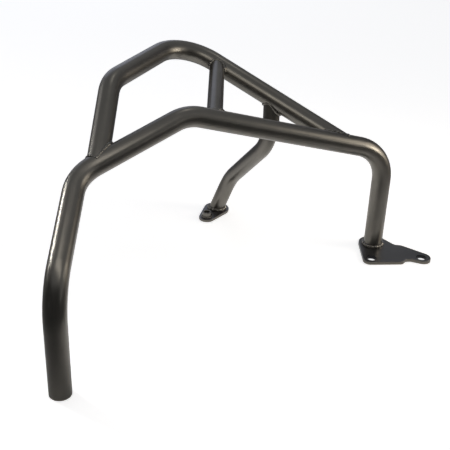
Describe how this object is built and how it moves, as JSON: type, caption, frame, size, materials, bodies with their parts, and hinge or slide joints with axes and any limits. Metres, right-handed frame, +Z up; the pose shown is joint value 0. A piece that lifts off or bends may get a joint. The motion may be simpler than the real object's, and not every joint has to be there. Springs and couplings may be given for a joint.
{
  "type": "motorcycle crash bar",
  "caption": "Welded tubular crash bar for one side of a motorcycle: bent main bar, braced rear hoop and leg, on a lobed bolt plate and a pear-shaped foot plate with a spacer bush.",
  "frame": {"origin": "midway between the side plate's two bolt holes, on the plate's underside", "axes": "+X from the hole under the main bar's seat towards the ear's hole, +Z up out of the plate, as the bar stands on its two plates and its open tube end"},
  "size_m": [0.4937, 0.4467, 0.2718],
  "materials": {
    "coat": "satin dark grey powder coat with a slight metallic sheen"
  },
  "bodies": {
    "root": {"bar_tube": "coat", "hoop_tube": "coat", "cross_brace": "coat", "rear_leg": "coat", "side_plate": "coat", "foot_plate": "coat", "foot_bush": "coat", "weld_hoop_front": "coat", "weld_hoop_rear": "coat", "weld_brace_hoop": "coat", "weld_brace_bar": "coat", "weld_leg_top": "coat", "weld_leg_foot": "coat", "weld_side_plate": "coat", "weld_bush": "coat"}
  },
  "joints": []
}
